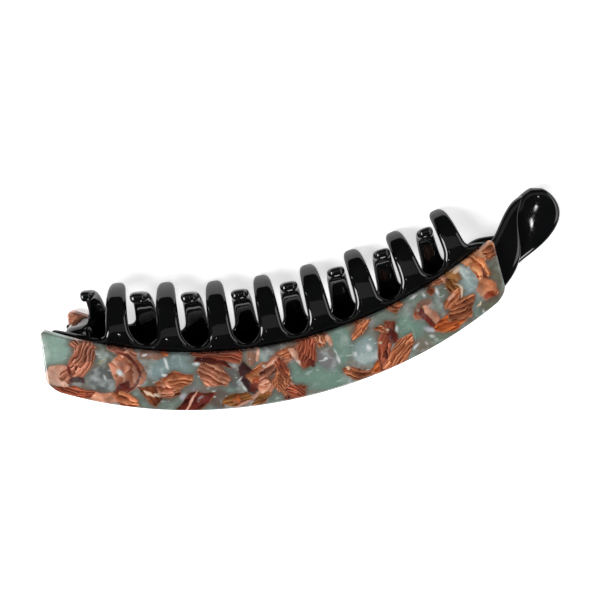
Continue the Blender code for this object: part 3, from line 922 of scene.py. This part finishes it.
def paint(plate, places, chips):
    """Writes the chips' colours, line phase and pearl on the plate's points."""
    x = places[:, 0] + DEPTH_SHIFT_X * places[:, 2]
    y = places[:, 1] + DEPTH_SHIFT_Y * places[:, 2]
    warp_x = waved(x, x, y, WARP_X)
    warp_y = waved(y, x, y, WARP_Y)
    drift = soft_step(waved(0.5, x, y, GROUND_DRIFT))[:, None]
    light = mixed(linear(GROUND_BROWN), linear(GROUND_GREEN), drift)
    dark = light * GROUND_DARK
    phase = waved(0.5, x, y, GROUND_PHASE)
    pearl = np.full(len(x), GROUND_PEARL)
    for seed, chip in enumerate(chips):
        centre_x, centre_y, half_length, half_width, turn, bend, kind, lines = chip
        chip_light, chip_dark, soft, hard = KINDS[kind]
        wide = hard and half_width > WIDE_CHIP
        cos_turn, sin_turn = math.cos(math.radians(turn)), math.sin(math.radians(turn))
        along = (warp_x - centre_x) * cos_turn + (warp_y - centre_y) * sin_turn
        aside = (warp_y - centre_y) * cos_turn - (warp_x - centre_x) * sin_turn
        way = np.clip(np.abs(along) / half_length, 0, 1)
        aside = aside - bend * (1 - way ** 2)
        if hard:
            inside = shard(along, aside, half_length * GROWTH, half_width * GROWTH, seed)
        else:
            inside = cloud(along, aside, half_length, half_width)
        # Painted shadow: a warm dark haze round each wide hard chip darkens the ground, and chips
        # under it less
        if wide:
            depth = np.where(pearl > HARD_BELOW, HALO_SHADOW_DEPTH, HALO_SHADOW_ON_CHIP)
            shadow = (depth * soft_step((inside + HALO_SHADOW_REACH) / HALO_SHADOW_FADE))[:, None]
            light = mixed(light, linear(HALO_SHADOW), shadow)
            dark = mixed(dark, HALO_SHADOW_DARK * linear(HALO_SHADOW), shadow)
        shares = (along / half_length, aside / half_width)
        across = chip_across(*shares, seed)
        own_phase = chip_phase(*shares, across, hard, lines, seed)
        tone = chip_tone(shares[0], across, wide, hard and lines, own_phase, seed)
        cover = soft_step(inside / soft + 0.5)
        light = mixed(light, linear(chip_light) * tone, cover[:, None])
        dark = mixed(dark, linear(chip_dark) * tone, cover[:, None])
        covered = cover > 0.5
        phase = np.where(covered, own_phase, phase)
        pearl = np.where(covered, chip_pearl(kind, hard, lines), pearl)
        if lines:
            rim = np.clip(1 - np.abs(inside - RIM_INSET) / RIM_WIDTH, 0, 1)[:, None]
            rim_colour = np.where((aside > 0)[:, None], linear(DARK_RIM), linear(LIGHT_RIM))
            light = mixed(light, rim_colour, RIM_STRENGTH * rim)
            dark = mixed(dark, rim_colour, RIM_STRENGTH * rim)
    for name, colours in (("chip_light", light), ("chip_dark", dark)):
        layer = plate.data.attributes.new(name, "FLOAT_COLOR", "POINT")
        layer.data.foreach_set("color", np.hstack((colours, np.ones((len(x), 1)))).ravel())
    for name, values in (("chip_phase", phase), ("chip_pearl", pearl)):
        layer = plate.data.attributes.new(name, "FLOAT", "POINT")
        layer.data.foreach_set("value", values)


# Materials


def new_material(name):
    """Empty node material: its tree, Principled shader and a function that adds nodes."""
    material = bpy.data.materials.new(name)
    material.use_nodes = True
    tree = material.node_tree
    shader = tree.nodes["Principled BSDF"]

    def node(kind, inputs=(), **settings):
        made = tree.nodes.new(kind)
        for key, value in settings.items():
            setattr(made, key, value)
        for socket, value in dict(inputs).items():
            if isinstance(value, bpy.types.NodeSocket):
                tree.links.new(value, made.inputs[socket])
            else:
                made.inputs[socket].default_value = value
        return made

    return material, tree, shader, node


def black_plastic():
    """Very glossy black plastic with soft moulding waves and fine handling marks."""
    material, tree, shader, node = new_material("black_plastic_look")
    place = node("ShaderNodeTexCoord").outputs["Object"]
    waves = node("ShaderNodeTexNoise", {"Vector": place, "Scale": 160.0, "Detail": 2.0})
    grain = node("ShaderNodeTexNoise", {"Vector": place, "Scale": 1500.0, "Detail": 4.0,
                                        "Roughness": 0.7})
    tone = node("ShaderNodeValToRGB", {"Fac": waves.outputs["Fac"]})
    tone.color_ramp.elements[0].position = 0.3
    tone.color_ramp.elements[0].color = (0.0016, 0.0018, 0.0022, 1)
    tone.color_ramp.elements[1].position = 0.75
    tone.color_ramp.elements[1].color = (0.0036, 0.0038, 0.0042, 1)
    gloss = node("ShaderNodeMapRange", {"Value": grain.outputs["Fac"], "From Min": 0.35,
                                        "From Max": 0.7, "To Min": 0.04, "To Max": 0.09})
    soft = node("ShaderNodeBump", {"Height": waves.outputs["Fac"], "Strength": 0.12,
                                   "Distance": 0.0004})
    fine = node("ShaderNodeBump", {"Height": grain.outputs["Fac"], "Strength": 0.03,
                                   "Distance": 0.00002, "Normal": soft.outputs["Normal"]})
    tree.links.new(tone.outputs["Color"], shader.inputs["Base Color"])
    tree.links.new(gloss.outputs["Result"], shader.inputs["Roughness"])
    tree.links.new(fine.outputs["Normal"], shader.inputs["Normal"])
    shader.inputs["IOR"].default_value = 1.52
    return material


def steel():
    """Drawn steel wire."""
    material, tree, shader, node = new_material("pin_steel_look")
    place = node("ShaderNodeTexCoord").outputs["Object"]
    streaks = node("ShaderNodeTexNoise", {"Vector": place, "Scale": 900.0, "Detail": 3.0})
    tone = node("ShaderNodeValToRGB", {"Fac": streaks.outputs["Fac"]})
    tone.color_ramp.elements[0].color = (0.40, 0.40, 0.41, 1)
    tone.color_ramp.elements[1].color = (0.62, 0.62, 0.63, 1)
    gloss = node("ShaderNodeMapRange", {"Value": streaks.outputs["Fac"], "To Min": 0.2,
                                        "To Max": 0.4})
    tree.links.new(tone.outputs["Color"], shader.inputs["Base Color"])
    tree.links.new(gloss.outputs["Result"], shader.inputs["Roughness"])
    shader.inputs["Metallic"].default_value = 1.0
    return material


def acetate():
    """Polished acetate: its chips come from the mesh, its lines, grain and flecks from noise."""
    material, tree, shader, node = new_material("mottled_acetate_look")
    place = node("ShaderNodeTexCoord").outputs["Object"]
    light = node("ShaderNodeAttribute", attribute_name="chip_light").outputs["Color"]
    dark = node("ShaderNodeAttribute", attribute_name="chip_dark").outputs["Color"]
    phase = node("ShaderNodeAttribute", attribute_name="chip_phase").outputs["Fac"]
    pearl = node("ShaderNodeAttribute", attribute_name="chip_pearl").outputs["Fac"]

    def maths(operation, first, second=0.0):
        return node("ShaderNodeMath", {0: first, 1: second}, operation=operation).outputs[0]

    def noise(scale, detail=2.0, vector=place):
        return node("ShaderNodeTexNoise", {"Vector": vector, "Scale": scale,
                                           "Detail": detail}).outputs["Fac"]

    def spread(value, low, high, to_low=0.0, to_high=1.0):
        return node("ShaderNodeMapRange", {"Value": value, "From Min": low, "From Max": high,
                                           "To Min": to_low, "To Max": to_high}).outputs[0]

    def mix(share, first, second, blend="MIX"):
        return node("ShaderNodeMix", {0: share, 6: first, 7: second}, data_type="RGBA",
                    blend_type=blend).outputs[2]

    def grey(value):
        return node("ShaderNodeCombineColor", {0: value, 1: value, 2: value}).outputs[0]

    def channels(colour):
        return node("ShaderNodeSeparateColor", {0: colour}).outputs

    # Crumpled planes inside the hard chips, which shift the lines and change the tone
    planes = node("ShaderNodeTexVoronoi", {"Vector": place, "Scale": PLANE_SCALE})
    plane_shift, plane_tone, _ = channels(planes.outputs["Color"])
    hard = maths("LESS_THAN", pearl, HARD_BELOW)
    lined = maths("LESS_THAN", pearl, LINED_BELOW)

    # Lines along the chips: a thin light one, then a slow fall to the dark edge of the next
    waver = maths("ADD", *(spread(noise(scale, detail), WAVER_LOW, WAVER_HIGH, -reach, reach)
                           for scale, detail, reach in LINE_WAVERS))
    shift = maths("MULTIPLY", maths("MULTIPLY", plane_shift, lined), PLANE_SHIFT)
    part = maths("FRACT", maths("ADD", maths("ADD", phase, waver), shift))
    profile = node("ShaderNodeValToRGB", {"Fac": part})
    ramp = profile.color_ramp
    ramp.elements[0].color = WHITE
    ramp.elements[1].color = (LINE_END_TONE, LINE_END_TONE, LINE_END_TONE, 1)
    for position, tone in LINE_PROFILE:
        ramp.elements.new(position).color = (tone, tone, tone, 1)
    fade = spread(noise(FADE_SCALE, detail=1.0), *FADE_RANGE)
    tone = maths("ADD", maths("MULTIPLY", profile.outputs["Color"], fade),
                 maths("MULTIPLY", maths("SUBTRACT", 1.0, fade), FADED_TONE))
    colour = mix(tone, dark, light)
    colour = mix(hard, colour, grey(spread(plane_tone, *PLANE_RANGE)), "MULTIPLY")
    colour = mix(hard, colour, mix(tone, MID_TINT, WHITE), "MULTIPLY")

    # Painted pearly sheen in soft clouds, painted soft shadows in the ground, and short painted
    # glints
    bent = node("ShaderNodeMapping", {"Vector": place, "Rotation": (0.4, 0.3, 0.6),
                                      "Scale": (1.0, 2.4, 1.0)}).outputs[0]
    for scale, detail, stretched, low, high, strength, layer in ACETATE_LAYERS:
        mask = spread(noise(scale, detail, bent if stretched else place), low, high)
        share = maths("MULTIPLY", maths("MULTIPLY", mask, pearl), strength)
        colour = mix(share, colour, layer)

    # Fine fibres and a few bright flecks
    fibre = spread(noise(FIBRE_SCALE, detail=3.0), *FIBRE_RANGE)
    colour = mix(1.0, colour, grey(fibre), "MULTIPLY")
    cells = node("ShaderNodeTexVoronoi", {"Vector": bent, "Scale": FLECK_SCALE})
    fleck = maths("LESS_THAN", cells.outputs["Distance"], FLECK_SIZE)
    chosen = maths("GREATER_THAN", channels(cells.outputs["Color"])[0], FLECK_CHOICE)
    share = maths("MULTIPLY", maths("MULTIPLY", fleck, chosen), FLECK_STRENGTH)
    colour = mix(share, colour, FLECK_COLOUR)
    tree.links.new(colour, shader.inputs["Base Color"])

    gloss = spread(noise(GLOSS_SCALE, detail=3.0), *GLOSS_RANGE)
    tree.links.new(gloss, shader.inputs["Roughness"])
    polish = node("ShaderNodeBump", {"Height": noise(POLISH_SCALE), "Strength": 0.12,
                                     "Distance": 0.0003})
    tree.links.new(polish.outputs["Normal"], shader.inputs["Normal"])
    shader.inputs["IOR"].default_value = 1.5
    shader.inputs["Coat Weight"].default_value = 0.25
    shader.inputs["Coat Roughness"].default_value = 0.05
    return material


black = black_plastic()
mottled = acetate()
low_top = BARREL_LOW + LOW_KNUCKLE
high_low = BARREL_HIGH - TOP_KNUCKLE
make_comb(LOWER, ((BARREL_LOW, low_top), (high_low, BARREL_HIGH)), black)
make_comb(UPPER, ((low_top + KNUCKLE_GAP, high_low - KNUCKLE_GAP),), black)
for half, chips in ((LOWER, other_side(CHIPS) + list(LOWER_CHIPS)), (UPPER, CHIPS)):
    plate, places = make_plate(half, mottled)
    paint(plate, places, chips)

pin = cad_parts["hinge_pin"]
pin.data.materials.clear()
pin.data.materials.append(steel())


# Studio

CLIP_MIDDLE = (0, 0.01, 0)
PADDLE = (0.078, 0.03, 0)
LIGHTS = (
    # (name, place, target, size, power)
    ("top softbox", (0.0, 0.22, 1.12), CLIP_MIDDLE, (1.3, 0.45), 0.55),
    ("left softbox", (-0.90, -0.10, 0.80), CLIP_MIDDLE, (0.5, 0.6), 13.5),
    ("front softbox", (0.10, -0.80, 0.80), CLIP_MIDDLE, (0.4, 0.25), 3.0),
    ("right softbox", (1.10, 0.0, 0.85), CLIP_MIDDLE, (1.3, 0.65), 6.0),
    ("overhead strip", (-0.10, -0.115, 0.98), PADDLE, (0.02, 0.022), 0.045),
)
FLOOR_REACH = 3.0
FLOOR_LEVEL = -0.00005
FLOOR_GLOW = 0.62
WORLD_STRENGTH = 0.05

# The camera, solved from the photo's outline
RIGHT = (0.9829807, -0.17598691, 0.05270244)
UP = (0.18370877, 0.94192331, -0.28112553)
FORWARD = (0.000167241, -0.286022868, -0.958222777)
EYE = (0.00374758, 0.07706441, 0.20841895)
FOCAL_PIXELS = 763.844
FRAME_PIXELS = 600
SENSOR = 36


def area_light(name, place, target, size, power):
    """Soft rectangular light that looks at a place."""
    light = bpy.data.lights.new(name, "AREA")
    light.shape = "RECTANGLE"
    light.size, light.size_y = size
    light.energy = power
    thing = new_object(name, light)
    thing.location = place
    direction = Vector(target) - Vector(place)
    thing.rotation_euler = direction.to_track_quat("-Z", "Y").to_euler()


def make_floor():
    """Plain pale floor under the clip."""
    mesh = bpy.data.meshes.new("studio_floor")
    corners = [(side_x * FLOOR_REACH, side_y * FLOOR_REACH, FLOOR_LEVEL)
               for side_x, side_y in ((-1, -1), (1, -1), (1, 1), (-1, 1))]
    mesh.from_pydata(corners, [], [(0, 1, 2, 3)])
    material, _, shader, _ = new_material("floor_paper")
    shader.inputs["Base Color"].default_value = (0.92, 0.92, 0.92, 1)
    shader.inputs["Roughness"].default_value = 0.9
    shader.inputs["Specular IOR Level"].default_value = 0.1
    shader.inputs["Emission Color"].default_value = WHITE
    shader.inputs["Emission Strength"].default_value = FLOOR_GLOW
    mesh.materials.append(material)
    floor = new_object("studio_floor", mesh)


def make_camera():
    """Camera at the photo's angle."""
    lens = bpy.data.cameras.new("camera")
    lens.sensor_width = SENSOR
    lens.lens = FOCAL_PIXELS / FRAME_PIXELS * SENSOR
    lens.clip_start = 0.01
    lens.dof.use_dof = False
    camera = new_object("camera", lens)
    camera.matrix_world = Matrix((
        (RIGHT[0], UP[0], -FORWARD[0], EYE[0]),
        (RIGHT[1], UP[1], -FORWARD[1], EYE[1]),
        (RIGHT[2], UP[2], -FORWARD[2], EYE[2]),
        (0, 0, 0, 1),
    ))
    return camera


make_floor()
for light in LIGHTS:
    area_light(*light)
bpy.context.scene.camera = make_camera()

world = bpy.data.worlds.new("studio")
world.use_nodes = True
background = world.node_tree.nodes["Background"]
background.inputs["Color"].default_value = WHITE
background.inputs["Strength"].default_value = WORLD_STRENGTH
bpy.context.scene.world = world
bpy.context.scene.view_settings.view_transform = "Standard"
